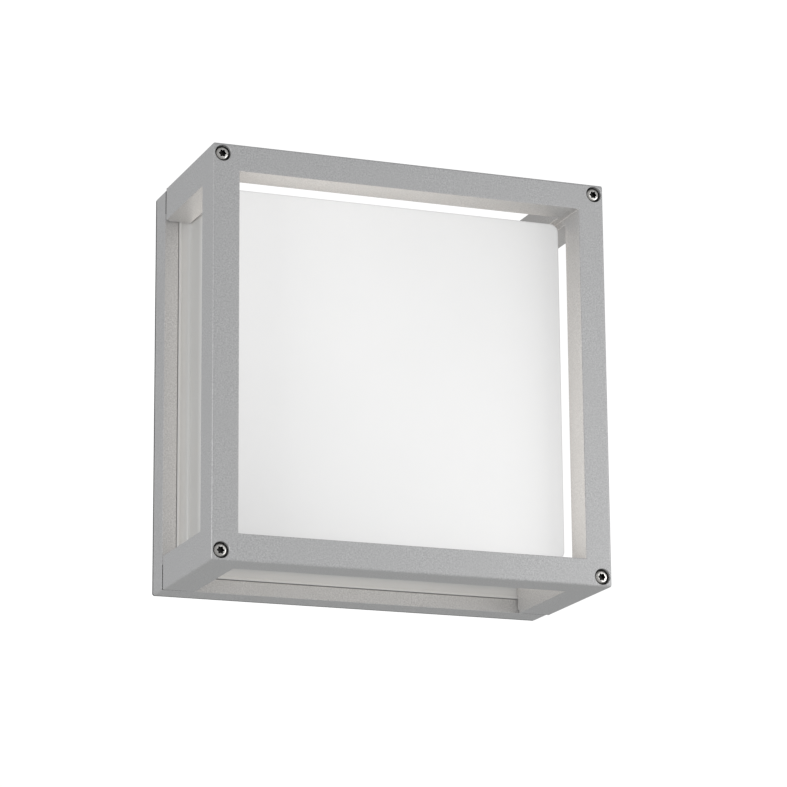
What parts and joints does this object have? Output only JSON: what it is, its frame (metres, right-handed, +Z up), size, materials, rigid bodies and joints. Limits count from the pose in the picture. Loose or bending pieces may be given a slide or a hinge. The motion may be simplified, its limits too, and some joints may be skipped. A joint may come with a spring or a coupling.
{
  "type": "outdoor wall lantern",
  "caption": "Square surface-mounted outdoor wall lantern: a cast cage with open windows on all sides over a boxy opal diffuser, on a shallow back plate.",
  "frame": {"origin": "centre of the back plate's rear face, in the plane of the wall", "axes": "+Z up, +X to the right as seen from in front, -Y out of the wall towards the front, +Y into the wall"},
  "size_m": [0.25, 0.116, 0.25],
  "materials": {
    "cast_body": "silver-grey fine-texture powder coat on die-cast aluminium",
    "opal": "opal white moulded polycarbonate, satin",
    "stainless": "A2 stainless, bright",
    "zinc": "zinc-plated steel",
    "nickel": "nickel-plated brass",
    "enamel": "white enamelled sheet steel",
    "porcelain": "glazed porcelain",
    "rubber": "black EPDM rubber",
    "foam": "closed-cell foam rubber",
    "silicone": "white silicone rubber",
    "nylon": "natural white polyamide",
    "lamp_plastic": "white moulded plastic",
    "lamp_opal": "opal lamp envelope",
    "cap_insulator": "black glass insulator",
    "sleeve_brown": "brown silicone sleeve",
    "sleeve_blue": "blue silicone sleeve",
    "sleeve_green_yellow": "green and yellow sleeve"
  },
  "bodies": {
    "plate": {"back_plate": "cast_body", "wall_seal": "foam", "cable_grommet": "rubber", "diffuser_gasket": "silicone", "reflector_tray": "enamel", "wire_bush": "nylon", "lamp_bracket": "zinc", "lampholder_housing": "porcelain", "lampholder_shell": "nickel", "lampholder_contact": "nickel", "terminal_block": "nylon", "earth_ring": "nickel", "earth_screw": "zinc", "wire_live": "sleeve_brown", "wire_neutral": "sleeve_blue", "wire_earth": "sleeve_green_yellow", "fixing_grommet_top_left": "rubber", "reflector_screw_top_left": "zinc", "fixing_grommet_top_right": "rubber", "reflector_screw_top_right": "zinc", "fixing_grommet_bottom_left": "rubber", "reflector_screw_bottom_left": "zinc", "fixing_grommet_bottom_right": "rubber", "reflector_screw_bottom_right": "zinc", "bracket_screw_left": "zinc", "holder_screw_left": "zinc", "bracket_screw_right": "zinc", "holder_screw_right": "zinc", "terminal_screw_earth_lamp": "zinc", "terminal_screw_earth_mains": "zinc", "terminal_screw_live_lamp": "zinc", "terminal_screw_live_mains": "zinc", "terminal_screw_neutral_lamp": "zinc", "terminal_screw_neutral_mains": "zinc"},
    "lamp": {"lamp_cap": "nickel", "lamp_cap_insulator": "cap_insulator", "lamp_body": "lamp_plastic", "lamp_globe": "lamp_opal"},
    "diffuser": {"diffuser": "opal"},
    "cage": {"cage": "cast_body", "cage_screw_washer_top_left": "rubber", "cage_screw_washer_top_right": "rubber", "cage_screw_washer_bottom_left": "rubber", "cage_screw_washer_bottom_right": "rubber"},
    "cage_screw_top_left": {"cage_screw_top_left": "stainless"},
    "cage_screw_top_right": {"cage_screw_top_right": "stainless"},
    "cage_screw_bottom_left": {"cage_screw_bottom_left": "stainless"},
    "cage_screw_bottom_right": {"cage_screw_bottom_right": "stainless"}
  },
  "joints": [
    {"name": "diffuser_lift_off", "type": "slide", "parent": "plate", "child": "diffuser", "axis": [0, -1, 0], "range_m": [0, 0.11]},
    {"name": "cage_lift_off", "type": "slide", "parent": "diffuser", "child": "cage", "axis": [0, -1, 0], "range_m": [0, 0.1]},
    {"name": "lamp_turn", "type": "hinge", "parent": "plate", "child": "lamp", "pos_m": [0, -0.055, -0.06], "axis": [0, 0, 1], "continuous": true},
    {"name": "screw_turn_top_left", "type": "hinge", "parent": "cage", "child": "cage_screw_top_left", "pos_m": [-0.119, -0.112, 0.119], "axis": [0, -1, 0], "continuous": true},
    {"name": "screw_turn_top_right", "type": "hinge", "parent": "cage", "child": "cage_screw_top_right", "pos_m": [0.119, -0.112, 0.119], "axis": [0, -1, 0], "continuous": true},
    {"name": "screw_turn_bottom_left", "type": "hinge", "parent": "cage", "child": "cage_screw_bottom_left", "pos_m": [-0.119, -0.112, -0.119], "axis": [0, -1, 0], "continuous": true},
    {"name": "screw_turn_bottom_right", "type": "hinge", "parent": "cage", "child": "cage_screw_bottom_right", "pos_m": [0.119, -0.112, -0.119], "axis": [0, -1, 0], "continuous": true}
  ]
}
